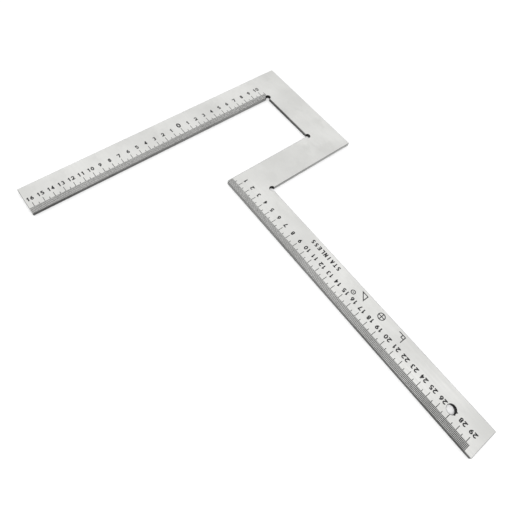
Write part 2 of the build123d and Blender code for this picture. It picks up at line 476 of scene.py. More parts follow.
@dataclass
class GlyphSet:
    """The characters of the scales, each drawn once and stamped where it is needed.

    Args:
        height: The characters' height.
        stroke: The strokes' width.
    """

    height: float = 4.4 * MM
    stroke: float = 1.05 * MM
    half_width: float = 1.05 * MM
    upper_share: float = 0.47
    lower_share: float = 0.53
    cache: dict = field(default_factory=dict)

    def mesh(self, character: str) -> bpy.types.Mesh:
        """Returns a character's flat mesh, drawn on first use.

        Args:
            character: A digit or capital letter.

        Returns:
            The flat mesh, centred on the origin.
        """
        if character not in self.cache:
            bm = bmesh.new()
            pen = GlyphPen(bm, self.height, self.stroke, self.half_width)
            getattr(self, self._method(character))(pen)
            pen.trim()
            mesh = bpy.data.meshes.new("glyph_" + character)
            bm.to_mesh(mesh)
            bm.free()
            self.cache[character] = mesh
        return self.cache[character]

    def forget(self) -> None:
        """Removes the drawn meshes."""
        for mesh in self.cache.values():
            bpy.data.meshes.remove(mesh)
        self.cache.clear()

    @staticmethod
    def _method(character: str) -> str:
        """The name of the method that draws a character.

        Args:
            character: A digit or capital letter.

        Returns:
            The method's name.
        """
        digits = ("zero", "one", "two", "three", "four", "five", "six", "seven", "eight", "nine")
        name = digits[int(character)] if character.isdigit() else character.lower()
        return "draw_" + name

    def draw_zero(self, pen: GlyphPen) -> None:
        """Draws an oval."""
        pen.oval(0, pen.half_width, pen.half_height)

    def draw_one(self, pen: GlyphPen) -> None:
        """Draws a stem with a flag.

        Args:
            pen: The pen that draws it.
        """
        stem = 0.25 * pen.half_width
        pen.bar((stem, -pen.height / 2), (stem, pen.height / 2))
        pen.bar((-0.75 * pen.half_width, 0.5 * pen.half_height), (stem, 0.92 * pen.half_height))

    def draw_two(self, pen: GlyphPen) -> None:
        """Draws a hook, a slope and a foot.

        Args:
            pen: The pen that draws it.
        """
        wide, high = pen.half_width, pen.half_height
        neck = pen.arc((0, high - wide), wide, 165, -200)
        pen.bar(neck, (-0.85 * wide, -high))
        pen.bar((-wide - pen.stroke / 2, -high), (wide + pen.stroke / 2, -high))

    def draw_three(self, pen: GlyphPen) -> None:
        """Draws two open bowls.

        Args:
            pen: The pen that draws it.
        """
        high = pen.half_height
        upper, lower = self.upper_share * high, self.lower_share * high
        pen.arc((0, high - upper), upper, 155, -245)
        pen.arc((0, lower - high), lower, 90, -245)

    def draw_four(self, pen: GlyphPen) -> None:
        """Draws a stem, a cross bar and a slope.

        Args:
            pen: The pen that draws it.
        """
        stem, level = 0.45 * pen.half_width, -0.42 * pen.half_height
        pen.bar((stem, -pen.height / 2), (stem, pen.height / 2))
        pen.bar((-1.25 * pen.half_width, level), (1.25 * pen.half_width, level))
        pen.bar((-pen.half_width, level), (stem, pen.half_height))

    def draw_five(self, pen: GlyphPen) -> None:
        """Draws a flag, a side and a bowl.

        Args:
            pen: The pen that draws it.
        """
        wide, high = pen.half_width, pen.half_height
        bowl = 0.6 * high
        pen.bar((-0.75 * wide, high), (wide, high))
        pen.bar((-0.62 * wide, pen.height / 2), (-0.82 * wide, 0))
        pen.arc((0, bowl - high), bowl, 135, -290)

    def draw_six(self, pen: GlyphPen) -> None:
        """Draws a closed bowl with a curved stem."""
        self._bowl_and_stem(pen, 1)

    def draw_nine(self, pen: GlyphPen) -> None:
        """Draws a six turned half round."""
        self._bowl_and_stem(pen, -1)

    def _bowl_and_stem(self, pen: GlyphPen, side: int) -> None:
        """Draws a six, or a nine where side is -1.

        Args:
            pen: The pen that draws it.
            side: Which way up it stands.
        """
        high = pen.half_height
        bowl = 0.58 * high
        pen.oval(side * (bowl - high), bowl, bowl)
        reach = 0.75 * pen.half_width + bowl
        rise = 0.97 * high - (bowl - high)
        radius = (reach ** 2 + rise ** 2) / (2 * reach)
        turn = 2 * math.degrees(math.atan2(reach, rise))
        start = 180 if side > 0 else 0
        pen.arc((side * (radius - bowl), side * (bowl - high)), radius, start, -turn)

    def draw_seven(self, pen: GlyphPen) -> None:
        """Draws a flag and a slope.

        Args:
            pen: The pen that draws it.
        """
        wide, high = pen.half_width, pen.half_height
        pen.bar((-wide - pen.stroke / 2, high), (wide + pen.stroke / 2, high))
        pen.bar((wide, high), (-0.35 * wide, -pen.height / 2 - pen.stroke))

    def draw_eight(self, pen: GlyphPen) -> None:
        """Draws two closed bowls.

        Args:
            pen: The pen that draws it.
        """
        high = pen.half_height
        for side, share in ((1, self.upper_share), (-1, self.lower_share)):
            pen.oval(side * (high - share * high), share * high, share * high)

    def draw_s(self, pen: GlyphPen) -> None:
        """Draws two opposed open bowls.

        Args:
            pen: The pen that draws it.
        """
        high = pen.half_height
        upper, lower = self.upper_share * high, self.lower_share * high
        pen.arc((0, high - upper), upper, 25, 245)
        pen.arc((0, lower - high), lower, 90, -245)

    def draw_t(self, pen: GlyphPen) -> None:
        """Draws a bar on a stem."""
        pen.bar((-1.25 * pen.half_width, pen.half_height), (1.25 * pen.half_width, pen.half_height))
        pen.bar((0, -pen.height / 2), (0, pen.half_height))

    def draw_a(self, pen: GlyphPen) -> None:
        """Draws two legs and a cross bar.

        Args:
            pen: The pen that draws it.
        """
        for side in (-1, 1):
            pen.bar((side * 1.1 * pen.half_width, -pen.height / 2), (0, pen.height / 2))
        reach, level = 0.6 * pen.half_width, -0.4 * pen.half_height
        pen.bar((-reach, level), (reach, level))

    def draw_i(self, pen: GlyphPen) -> None:
        """Draws a stem."""
        pen.bar((0, -pen.height / 2), (0, pen.height / 2))

    def draw_n(self, pen: GlyphPen) -> None:
        """Draws two stems and a slope.

        Args:
            pen: The pen that draws it.
        """
        for side in (-1, 1):
            pen.bar((side * pen.half_width, -pen.height / 2), (side * pen.half_width, pen.height / 2))
        pen.bar((-pen.half_width, pen.height / 2), (pen.half_width, -pen.height / 2))

    def draw_l(self, pen: GlyphPen) -> None:
        """Draws a stem and a foot."""
        pen.bar((-pen.half_width, -pen.height / 2), (-pen.half_width, pen.height / 2))
        pen.bar((-pen.half_width, -pen.half_height), (1.2 * pen.half_width, -pen.half_height))

    def draw_e(self, pen: GlyphPen) -> None:
        """Draws a stem and three bars.

        Args:
            pen: The pen that draws it.
        """
        self.draw_l(pen)
        pen.bar((-pen.half_width, 0), (pen.half_width, 0))
        pen.bar((-pen.half_width, pen.half_height), (1.2 * pen.half_width, pen.half_height))


# ---------------------------------------------------------------- engraving tools


@dataclass
class EngravingTool:
    """Collects the cutters of one group of marks.

    Args:
        layout: The plate's sizes.
        name: The node that the group's enamel stands for.
        slot: The key of the enamel finish that fills its marks.
    """

    layout: SquareLayout
    name: str
    slot: str

    def __post_init__(self) -> None:
        """Starts an empty bmesh."""
        self.bm = bmesh.new()

    def add_line(self, low: tuple, high: tuple) -> None:
        """Adds a straight line's cutter between two corners, from the zero corner.

        Args:
            low: Lowest corner on the face.
            high: Highest corner on the face.
        """
        depth = self.layout.engraving_depth + self.layout.tool_clearance
        size = Vector((high[0] - low[0], high[1] - low[1], depth))
        foot = self.layout.zero_corner - UP * self.layout.engraving_depth
        middle = foot + Vector((*low, 0)) + size / 2
        place = Matrix.Translation(middle) @ Matrix.Diagonal((*size, 1))
        bmesh.ops.create_cube(self.bm, size=1, matrix=place)

    def add_flat(self, mesh: bpy.types.Mesh, place: Matrix) -> None:
        """Adds the cutter of a flat mark.

        Args:
            mesh: The mark, drawn flat about the origin.
            place: Where it goes, from the zero corner.
        """
        flat = bmesh.new()
        flat.from_mesh(mesh)
        thicken(flat, self.layout.engraving_depth + self.layout.tool_clearance)
        foot = Matrix.Translation(self.layout.zero_corner - UP * self.layout.engraving_depth)
        flat.transform(foot @ place)
        raised = bpy.data.meshes.new("cutter")
        flat.to_mesh(raised)
        flat.free()
        self.bm.from_mesh(raised)
        bpy.data.meshes.remove(raised)

    def finish(self) -> bpy.types.Object:
        """Returns the group's cutters as one object."""
        return new_piece(self.name + "_tool", self.bm)


@dataclass
class LineRow:
    """One side of a scale: its lines in three lengths.

    Args:
        layout: The plate's sizes.
        prefix: The start of its nodes' names.
        last: The last millimetre that has a line.
    """

    layout: SquareLayout
    prefix: str
    last: int
    line_width: float = 0.54 * MM
    lengths: dict = field(default_factory=lambda: {
        LineKind.MILLIMETRE: 6.3 * MM,
        LineKind.HALF_CENTIMETRE: 8.3 * MM,
        LineKind.CENTIMETRE: 11.2 * MM,
    })

    @staticmethod
    def kind(millimetre: int) -> LineKind:
        """The kind of line at a millimetre.

        Args:
            millimetre: The line's place on its scale.

        Returns:
            Its kind.
        """
        if millimetre % 10 == 0:
            return LineKind.CENTIMETRE
        return LineKind.HALF_CENTIMETRE if millimetre % 5 == 0 else LineKind.MILLIMETRE

    def tools(self) -> list[EngravingTool]:
        """Builds one tool for each length of line.

        Returns:
            The tools.
        """
        tools = {
            kind: EngravingTool(self.layout, f"{self.prefix}_{kind.value}", "line_infill")
            for kind in LineKind
        }
        for millimetre in range(1, self.last + 1):
            kind = self.kind(millimetre)
            tools[kind].add_line(*self._corners(millimetre * MM, self.lengths[kind]))
        return list(tools.values())

    def _corners(self, distance: float, length: float) -> tuple:
        """The line's corners on the face, up the arm or across the leg.

        Args:
            distance: The line's distance from zero.
            length: Its length.

        Returns:
            The lowest and the highest corner.
        """
        half = self.line_width / 2
        past = self.layout.tool_clearance
        if self.prefix == "leg":
            return (-past, -distance - half), (length, -distance + half)
        side = -1 if self.prefix == "arm_long" else 1
        edge = self.layout.slot_height
        return (side * distance - half, edge - past), (side * distance + half, edge + length)


@dataclass
class NumeralRow:
    """The numbers and words that are stamped along the arm or up the leg.

    Args:
        layout: The plate's sizes.
        glyphs: The characters.
    """

    layout: SquareLayout
    glyphs: GlyphSet
    pitch: float = 3.7 * MM

    def word(self, tool: EngravingTool, text: str, centre: tuple, reading: Reading, **style: float) -> None:
        """Adds a word to a tool.

        Args:
            tool: The tool that cuts it.
            text: The characters.
            centre: The word's middle, from the zero corner.
            reading: Which way it reads.
            **style: pitch, the step between characters, and size, a factor on their height.
        """
        pitch = style.get("pitch", self.pitch)
        turn = Matrix.Rotation(reading.value, 4, "Z")
        factor = style.get("size", 1.0)
        size = Matrix.Scale(factor, 4, (1, 0, 0)) @ Matrix.Scale(factor, 4, (0, 1, 0))
        for place, character in enumerate(text):
            along = pitch * (place - (len(text) - 1) / 2)
            matrix = Matrix.Translation((*centre, 0)) @ turn @ Matrix.Translation((along, 0, 0)) @ size
            tool.add_flat(self.glyphs.mesh(character), matrix)

    def leg_numbers(self, count: int, from_edge: float) -> EngravingTool:
        """Builds the leg's numbers.

        Args:
            count: The last number.
            from_edge: The numbers' distance from the scale's edge.

        Returns:
            The numbers' tool.
        """
        tool = EngravingTool(self.layout, "leg_numerals", "numeral_infill")
        for number in range(1, count + 1):
            self.word(tool, str(number), (from_edge, -10 * number * MM), Reading.UP_LEG)
        return tool

    def arm_numbers(self, name: str, count: int, side: int, from_edge: float) -> EngravingTool:
        """Builds the numbers of one side of the arm's scale.

        Args:
            name: The node's name.
            count: The last number.
            side: Left of zero is -1, right is 1.
            from_edge: The numbers' distance from the scale's edge.

        Returns:
            The numbers' tool.
        """
        tool = EngravingTool(self.layout, name, "numeral_infill")
        level = self.layout.slot_height + from_edge
        for number in range(1, count + 1):
            self.word(tool, str(number), (side * 10 * number * MM, level), Reading.ALONG_ARM)
        return tool


@dataclass
class PlainMarks:
    """The lettering and the plain geometric marks beside the leg's scale.

    Args:
        layout: The plate's sizes.
        numerals: The row that stamps words.
    """

    layout: SquareLayout
    numerals: NumeralRow
    lettering: str = "STAINLESS"
    lettering_place: tuple = (25.2 * MM, -114.0 * MM)
    lettering_pitch: float = 4.15 * MM
    ring_place: tuple = (20.6 * MM, -154.0 * MM)
    ring_radius: float = 2.3 * MM
    dot_radius: float = 0.6 * MM
    emblem_size: float = 7.2 * MM
    stroke: float = 0.8 * MM
    emblem_from_edge: float = 24.8 * MM

    def tools(self) -> list[EngravingTool]:
        """Builds the tools of all marks.

        Returns:
            The tools.
        """
        words = EngravingTool(self.layout, "steel_lettering", "numeral_infill")
        pitch = self.lettering_pitch
        self.numerals.word(words, self.lettering, self.lettering_place, Reading.UP_LEG, pitch=pitch)
        tools = [words, self._ring()]
        for name, draw, from_zero in (
            ("set_square_emblem", self._set_square, 161.5 * MM),
            ("centre_emblem", self._centre_mark, 184.0 * MM),
            ("right_angle_emblem", self._right_angle, 205.5 * MM),
        ):
            tools.append(self._emblem(name, draw, from_zero))
        return tools

    def _pen(self, bm: bmesh.types.BMesh) -> GlyphPen:
        """A pen of the emblems' stroke."""
        return GlyphPen(bm, self.emblem_size, self.stroke, self.emblem_size / 2)

    def _stamp(self, name: str, bm: bmesh.types.BMesh, place: tuple, reading: Reading) -> EngravingTool:
        """Makes a tool of one flat mark.

        Args:
            name: The node's name.
            bm: The mark, which is freed.
            place: Its middle, from the zero corner.
            reading: Which way it reads.

        Returns:
            The mark's tool.
        """
        mesh = bpy.data.meshes.new(name)
        bm.to_mesh(mesh)
        bm.free()
        tool = EngravingTool(self.layout, name, "numeral_infill")
        tool.add_flat(mesh, Matrix.Translation((*place, 0)) @ Matrix.Rotation(reading.value, 4, "Z"))
        bpy.data.meshes.remove(mesh)
        return tool

    def _ring(self) -> EngravingTool:
        """Builds a small ring with a dot in it.

        Returns:
            The ring's tool.
        """
        bm = bmesh.new()
        middle = self.ring_radius - self.stroke / 2
        self._pen(bm).oval(0, middle, middle)
        bmesh.ops.create_circle(bm, cap_ends=True, segments=20, radius=self.dot_radius)
        return self._stamp("ring_mark", bm, self.ring_place, Reading.UP_LEG)

    def _emblem(self, name: str, draw: Drawing, from_zero: float) -> EngravingTool:
        """Builds one emblem with its drawing method.

        Args:
            name: The node's name.
            draw: The method that draws it.
            from_zero: Its distance from the zero corner.

        Returns:
            The emblem's tool.
        """
        bm = bmesh.new()
        draw(self._pen(bm))
        return self._stamp(name, bm, (self.emblem_from_edge, -from_zero), Reading.UP_LEG)

    def _set_square(self, pen: GlyphPen) -> None:
        """Draws a set square: a mitred triangular band.

        Args:
            pen: The pen that draws it.
        """
        half = self.emblem_size / 2
        corners = ((-half, -half), (half, -half), (-half, half))
        face = pen.bm.faces.new([pen.bm.verts.new((*corner, 0)) for corner in corners])
        face.normal_update()
        bmesh.ops.inset_region(
            pen.bm, faces=[face], thickness=self.stroke, use_even_offset=True, use_boundary=True,
        )
        bmesh.ops.delete(pen.bm, geom=[face], context="FACES")

    def _centre_mark(self, pen: GlyphPen) -> None:
        """Draws a circle with a cross through it.

        Args:
            pen: The pen that draws it.
        """
        middle = (self.emblem_size - self.stroke) / 2
        pen.oval(0, middle, middle)
        pen.bar((-middle, 0), (middle, 0))
        pen.bar((0, -middle), (0, middle))

    def _right_angle(self, pen: GlyphPen) -> None:
        """Draws an L with a small square in its corner.

        Args:
            pen: The pen that draws it.
        """
        half, near = self.emblem_size / 2, (self.emblem_size - self.stroke) / 2
        pen.bar((-near, -half), (-near, half))
        pen.bar((-half, -near), (half, -near))
        pen.bar((-self.stroke / 2, -half), (-self.stroke / 2, 0))
        pen.bar((-half, -self.stroke / 2), (0, -self.stroke / 2))


# ---------------------------------------------------------------- shader groups


@dataclass
class NodeSheet:
    """A node tree with short calls to add and join nodes.

    Args:
        tree: The tree that is filled.
    """

    tree: bpy.types.NodeTree

    def add(self, kind: str, inputs: dict | None = None, **settings: object) -> bpy.types.Node:
        """Adds a node.

        Args:
            kind: The node type without its ShaderNode prefix.
            inputs: Values or output sockets by input name or number.
            **settings: The node's own properties.

        Returns:
            The new node.
        """
        prefix = "" if kind.startswith("NodeGroup") else "ShaderNode"
        node = self.tree.nodes.new(prefix + kind)
        for name, value in settings.items():
            setattr(node, name, value)
        for name, value in (inputs or {}).items():
            if isinstance(value, bpy.types.NodeSocket):
                self.tree.links.new(value, node.inputs[name])
            else:
                node.inputs[name].default_value = value
        return node

    def group(self, tree: bpy.types.NodeTree, **inputs: Value) -> bpy.types.Node:
        """Adds a node group; an input's underscores are its spaces.

        Args:
            tree: The group's tree.
            **inputs: Values or output sockets by input name.

        Returns:
            The new node.
        """
        node = self.add("Group", node_tree=tree)
        for name, value in inputs.items():
            socket = node.inputs[name.replace("_", " ")]
            if isinstance(value, bpy.types.NodeSocket):
                self.tree.links.new(value, socket)
            else:
                socket.default_value = value
        return node

    def math(self, operation: str, first: Value, second: Value = 0.0) -> Socket:
        """Adds a math node and returns its output."""
        return self.add("Math", {0: first, 1: second}, operation=operation).outputs[0]

    def stretch(self, value: Value, low: float, high: float, to_low: float, to_high: float) -> Socket:
        """Maps a value's range smoothly to another."""
        inputs = {"Value": value, "From Min": low, "From Max": high, "To Min": to_low, "To Max": to_high}
        return self.add("MapRange", inputs, interpolation_type="SMOOTHSTEP").outputs[0]

    def noise(self, vector: Socket, scale: float, detail: float = 3.0, roughness: float = 0.5) -> Socket:
        """Adds a noise texture and returns its value."""
        inputs = {"Vector": vector, "Scale": scale, "Detail": detail, "Roughness": roughness}
        return self.add("TexNoise", inputs).outputs[0]

    def mapped(self, vector: Socket, turn: float, scale: tuple, shift: tuple = (0, 0, 0)) -> Socket:
        """Turns and scales coordinates."""
        inputs = {"Vector": vector, "Location": shift, "Rotation": (0, 0, turn), "Scale": scale}
        return self.add("Mapping", inputs).outputs[0]


def start_group(name: str, inputs: dict, outputs: dict) -> tuple:
    """Starts a shader node group.

    Args:
        name: The group's name.
        inputs: Default values by input name; a vector input has None.
        outputs: Socket types by output name.

    Returns:
        The group's sheet, its input node and its output node.
    """
    tree = bpy.data.node_groups.new(name, "ShaderNodeTree")
    for label, value in inputs.items():
        kind = "NodeSocketVector" if value is None else "NodeSocketFloat"
        socket = tree.interface.new_socket(name=label, in_out="INPUT", socket_type=kind)
        if value is not None:
            socket.default_value = value
    for label, kind in outputs.items():
        tree.interface.new_socket(name=label, in_out="OUTPUT", socket_type=kind)
    sheet = NodeSheet(tree)
    return sheet, sheet.add("NodeGroupInput"), sheet.add("NodeGroupOutput")


@dataclass
class SteelEffects:
    """The effects that the steel and enamel finishes share, each built once."""

    grain: bpy.types.NodeTree = None
    scratches: bpy.types.NodeTree = None
    handling: bpy.types.NodeTree = None
    residue: bpy.types.NodeTree = None
    # Painted sheen that lightens the sides facing the front and the left.
    rubbed_sides: bpy.types.NodeTree = None

    def build(self) -> "SteelEffects":
        """Builds the node groups.

        Returns:
            These effects, ready for use.
        """
        self.residue = self._residue()
        self.rubbed_sides = self._rubbed_sides()
        self.grain = self._grain()
        self.scratches = self._scratches()
        self.handling = self._handling()
        return self

    @staticmethod
    def _grain() -> bpy.types.NodeTree:
        """Fine lines from grinding, all along one direction.

        Returns:
            The group's tree.
        """
        outputs = {"Lines": "NodeSocketFloat", "Height": "NodeSocketFloat"}
        sheet, given, result = start_group("grinding_grain", {"Vector": None, "Fineness": 1.0}, outputs)
        vector = sheet.add("VectorMath", {0: given.outputs["Vector"]}, operation="SCALE")
        sheet.tree.links.new(given.outputs["Fineness"], vector.inputs["Scale"])
        fine = sheet.noise(sheet.mapped(vector.outputs[0], 0.0, (3200, 40, 400)), 1.0, 2.0, 0.6)
        coarse = sheet.noise(sheet.mapped(vector.outputs[0], 0.012, (900, 9, 200)), 1.0, 3.0, 0.55)
        patchy = sheet.noise(sheet.mapped(vector.outputs[0], 0.0, (60, 22, 30)), 1.0, 3.0)
        lines = sheet.math("ADD", sheet.math("MULTIPLY", fine, 0.6), sheet.math("MULTIPLY", coarse, 0.4))
        strength = sheet.stretch(patchy, 0.3, 0.7, 0.45, 1.0)
        height = sheet.math("MULTIPLY", sheet.math("SUBTRACT", lines, 0.5), strength)
        sheet.tree.links.new(lines, result.inputs["Lines"])
        sheet.tree.links.new(height, result.inputs["Height"])
        return sheet.tree

    @staticmethod
    def _residue() -> bpy.types.NodeTree:
        """Enamel left between the leg's lines, thicker towards the free end.

        Returns:
            The group's tree.
        """
        inputs = {"Vector": None, "Edge": 0.0, "Reach": 6.3 * MM, "Last Line": 0.0}
        sheet, given, result = start_group("enamel_residue", inputs, {"Mask": "NodeSocketFloat"})
        place = sheet.add("SeparateXYZ", {"Vector": given.outputs["Vector"]})
        inwards = sheet.math("SUBTRACT", place.outputs["X"], given.outputs["Edge"])
        share = sheet.math("DIVIDE", inwards, given.outputs["Reach"])
        band = sheet.stretch(share, 0.95, 1.1, 1.0, 0.0)
        on_leg = sheet.stretch(share, -0.1, 0.0, 0.0, 1.0)
        past = sheet.math("SUBTRACT", place.outputs["Y"], given.outputs["Last Line"])
        cut = sheet.stretch(past, -0.5 * MM, 0.3 * MM, 0.0, 1.0)
        end = sheet.math("MULTIPLY", sheet.stretch(past, 0.0, 200 * MM, 1.0, 0.0), cut)
        patches = sheet.stretch(sheet.noise(given.outputs["Vector"], 180.0, 3.0), 0.3, 0.6, 0.6, 1.0)
        strip = sheet.math("MULTIPLY", band, on_leg)
        mask = sheet.math("MULTIPLY", strip, sheet.math("MULTIPLY", end, patches))
        sheet.tree.links.new(mask, result.inputs["Mask"])
        return sheet.tree

    @staticmethod
    def _rubbed_sides() -> bpy.types.NodeTree:
        """Painted sheen on the sides that face the front and the left: stronger towards the crossbar, on the
        return more than on the arm, and on the leg towards the zero corner.

        Returns:
            The group's tree.
        """
        outputs = {"Mask": "NodeSocketFloat"}
        sheet, given, result = start_group("rubbed_sides", {"Vector": None, "Normal": None}, outputs)
        facing = sheet.add("SeparateXYZ", {"Vector": given.outputs["Normal"]})
        place = sheet.add("SeparateXYZ", {"Vector": given.outputs["Vector"]})
        squarely, hardly = -0.9, -0.4
        faces_front = sheet.stretch(facing.outputs["Y"], squarely, hardly, 1.0, 0.0)
        towards_crossbar = sheet.stretch(place.outputs["X"], -150 * MM, 150 * MM, 0.0, 1.0)
        return_more_than_arm = sheet.stretch(place.outputs["Y"], 70 * MM, 165 * MM, 1.0, 0.55)
        faces_left = sheet.stretch(facing.outputs["X"], squarely, hardly, 1.0, 0.0)
        on_leg = sheet.stretch(place.outputs["X"], 40 * MM, 60 * MM, 1.0, 0.0)
        towards_zero = sheet.stretch(place.outputs["Y"], -180 * MM, 100 * MM, 0.0, 0.5)
        arms = sheet.math("MULTIPLY", towards_crossbar, return_more_than_arm)
        arms = sheet.math("MULTIPLY", faces_front, arms)
        leg = sheet.math("MULTIPLY", faces_left, sheet.math("MULTIPLY", on_leg, towards_zero))
        mask = sheet.math("MAXIMUM", arms, leg)
        sheet.tree.links.new(mask, result.inputs["Mask"])
        return sheet.tree

    @staticmethod
    def _scratches() -> bpy.types.NodeTree:
        """Sparse hairline scratches at several angles.

        Returns:
            The group's tree.
        """
        inputs = {"Vector": None, "Amount": 0.5}
        sheet, given, result = start_group("hairline_scratches", inputs, {"Mask": "NodeSocketFloat"})
        total = None
        directions = ((0.5, 700, 7, 0.3), (-0.9, 620, 9, 1.7), (1.35, 800, 6, 3.1), (2.3, 560, 8, 5.9))
        for turn, across, along, shift in directions:
            place = sheet.mapped(given.outputs["Vector"], turn, (across, along, 1), (shift, shift, 0))
            line = sheet.stretch(sheet.noise(place, 1.0, 0.0), 0.765, 0.80, 0.0, 1.0)
            total = line if total is None else sheet.math("MAXIMUM", total, line)
        gate = sheet.noise(given.outputs["Vector"], 14.0, 2.0)
        kept = sheet.math("MULTIPLY", total, sheet.stretch(gate, 0.42, 0.62, 0.0, 1.0))
        sheet.tree.links.new(sheet.math("MULTIPLY", kept, given.outputs["Amount"]), result.inputs["Mask"])
        return sheet.tree

    @staticmethod
    def _handling() -> bpy.types.NodeTree:
        """Soft smudges, cloudy patches and small specks from handling.

        Returns:
            The group's tree.
        """
        outputs = {"Cloud": "NodeSocketFloat", "Smudge": "NodeSocketFloat", "Specks": "NodeSocketFloat"}
        sheet, given, result = start_group("handling_marks", {"Vector": None}, outputs)
        vector = given.outputs["Vector"]
        cloud = sheet.stretch(sheet.noise(vector, 16.0, 4.0, 0.55), 0.3, 0.7, 0.0, 1.0)
        rubbed = sheet.mapped(vector, 0.4, (55, 38, 45))
        smudge = sheet.stretch(sheet.noise(rubbed, 1.0, 5.0, 0.6), 0.5, 0.72, 0.0, 1.0)
        cells = sheet.add("TexVoronoi", {"Vector": vector, "Scale": 260.0, "Randomness": 1.0})
        rare = sheet.stretch(sheet.noise(vector, 95.0, 1.0), 0.62, 0.70, 0.0, 1.0)
        dots = sheet.math("MULTIPLY", sheet.stretch(cells.outputs["Distance"], 0.03, 0.09, 1.0, 0.0), rare)
        for label, socket in (("Cloud", cloud), ("Smudge", smudge), ("Specks", dots)):
            sheet.tree.links.new(socket, result.inputs[label])
        return sheet.tree


# ---------------------------------------------------------------- finishes


def start_material(name: str) -> tuple:
    """Starts a material.

    Args:
        name: The finish's name.

    Returns:
        The material, its sheet and its shader.
    """
    material = bpy.data.materials.new(name)
    material.use_nodes = True
    sheet = NodeSheet(material.node_tree)
    return material, sheet, material.node_tree.nodes["Principled BSDF"]


def blend(sheet: NodeSheet, factor: Value, first: tuple | Socket, second: tuple | Socket) -> Socket:
    """Mixes two colours, or a socket's colour and another, by a factor.

    Args:
        sheet: The material's sheet.
        factor: The share of the second colour.
        first: The first colour.
        second: The second colour.

    Returns:
        The mixed colour.
    """
    node = sheet.add("Mix", data_type="RGBA")
    for number, value in ((0, factor), (6, first), (7, second)):
        if isinstance(value, bpy.types.NodeSocket):
            sheet.tree.links.new(value, node.inputs[number])
        else:
            node.inputs[number].default_value = value
    return node.outputs[2]


@dataclass(frozen=True)
class SteelFinish:
    """A bare steel surface.

    Args:
        name: The material's name.
        light: The brighter of its two tones.
        dark: The darker tone.
        roughness: Its middle roughness.
        grain_height: The height of its grinding lines, in metres.
        fineness: How fine the lines are.
        turn: The direction of the lines.
    """

    name: str
    light: tuple
    dark: tuple
    roughness: float
    grain_height: float
    fineness: float = 1.0
    turn: tuple = (0.0, 0.0, 0.0)
    scratch_amount: float = 0.6
    residue: float = 0.0
    # How strongly the painted sheen lightens the sides facing the front and the left.
    cleaner: float = 0.0
    scale_edge: float = 0.0
    last_line: float = 0.0

    def material(self, effects: SteelEffects) -> bpy.types.Material:
        """Builds the material.

        Args:
            effects: The shared groups.

        Returns:
            The new material.
        """
        material, sheet, shader = start_material(self.name)
        place = sheet.add("TexCoord").outputs["Object"]
        turned = sheet.add("Mapping", {"Vector": place, "Rotation": self.turn}).outputs[0]
        grain = sheet.group(effects.grain, Vector=turned, Fineness=self.fineness)
        scratch = sheet.group(effects.scratches, Vector=place, Amount=self.scratch_amount).outputs["Mask"]
        handling = sheet.group(effects.handling, Vector=place)
        patches = sheet.math("MULTIPLY", handling.outputs["Smudge"], 0.55)
        cleaned = sheet.math("SUBTRACT", handling.outputs["Cloud"], patches)
        tone = blend(sheet, cleaned, self.dark, self.light)
        lined = blend(sheet, sheet.stretch(grain.outputs["Lines"], 0.35, 0.65, 0.30, 0.0), tone, self.dark)
        worn = blend(sheet, sheet.math("MULTIPLY", scratch, 0.5), lined, self.light)
        specks = sheet.math("MULTIPLY", handling.outputs["Specks"], 0.35)
        specked = blend(sheet, specks, worn, (0.3, 0.29, 0.27, 1))
        stained = self._stain(sheet, effects, place, specked)
        sheet.tree.links.new(stained, shader.inputs["Base Color"])
        rough = sheet.stretch(grain.outputs["Lines"], 0.3, 0.7, self.roughness - 0.06, self.roughness + 0.08)
        smudged = sheet.math("ADD", rough, sheet.math("MULTIPLY", handling.outputs["Smudge"], 0.07))
        polished = sheet.math("SUBTRACT", smudged, sheet.math("MULTIPLY", scratch, 0.1))
        sheet.tree.links.new(polished, shader.inputs["Roughness"])
        shader.inputs["Metallic"].default_value = 1.0
        height = sheet.math("SUBTRACT", grain.outputs["Height"], sheet.math("MULTIPLY", scratch, 0.8))
        bump = sheet.add("Bump", {"Height": height, "Distance": self.grain_height, "Strength": 1.0})
        sheet.tree.links.new(bump.outputs[0], shader.inputs["Normal"])
        return material


    def _stain(self, sheet: NodeSheet, effects: SteelEffects, place: Socket, tone: Socket) -> Socket:
        """Adds the enamel residue and the painted sheen on the sides, where this finish has them.

        Args:
            sheet: The material's sheet.
            effects: The shared groups.
            place: The object coordinates.
            tone: The colour so far.

        Returns:
            The stained colour.
        """
        if self.residue:
            strip = {"Vector": place, "Edge": self.scale_edge, "Last_Line": self.last_line}
            mask = sheet.group(effects.residue, **strip).outputs["Mask"]
            tone = blend(sheet, sheet.math("MULTIPLY", mask, self.residue), tone, (0.1, 0.1, 0.1, 1))
        if self.cleaner:
            normal = sheet.add("TexCoord").outputs["Normal"]
            mask = sheet.group(effects.rubbed_sides, Vector=place, Normal=normal).outputs["Mask"]
            # Painted sheen: lightens the masked sides towards pale steel.
            tone = blend(sheet, sheet.math("MULTIPLY", mask, self.cleaner), tone, (0.75, 0.75, 0.74, 1))
        return tone


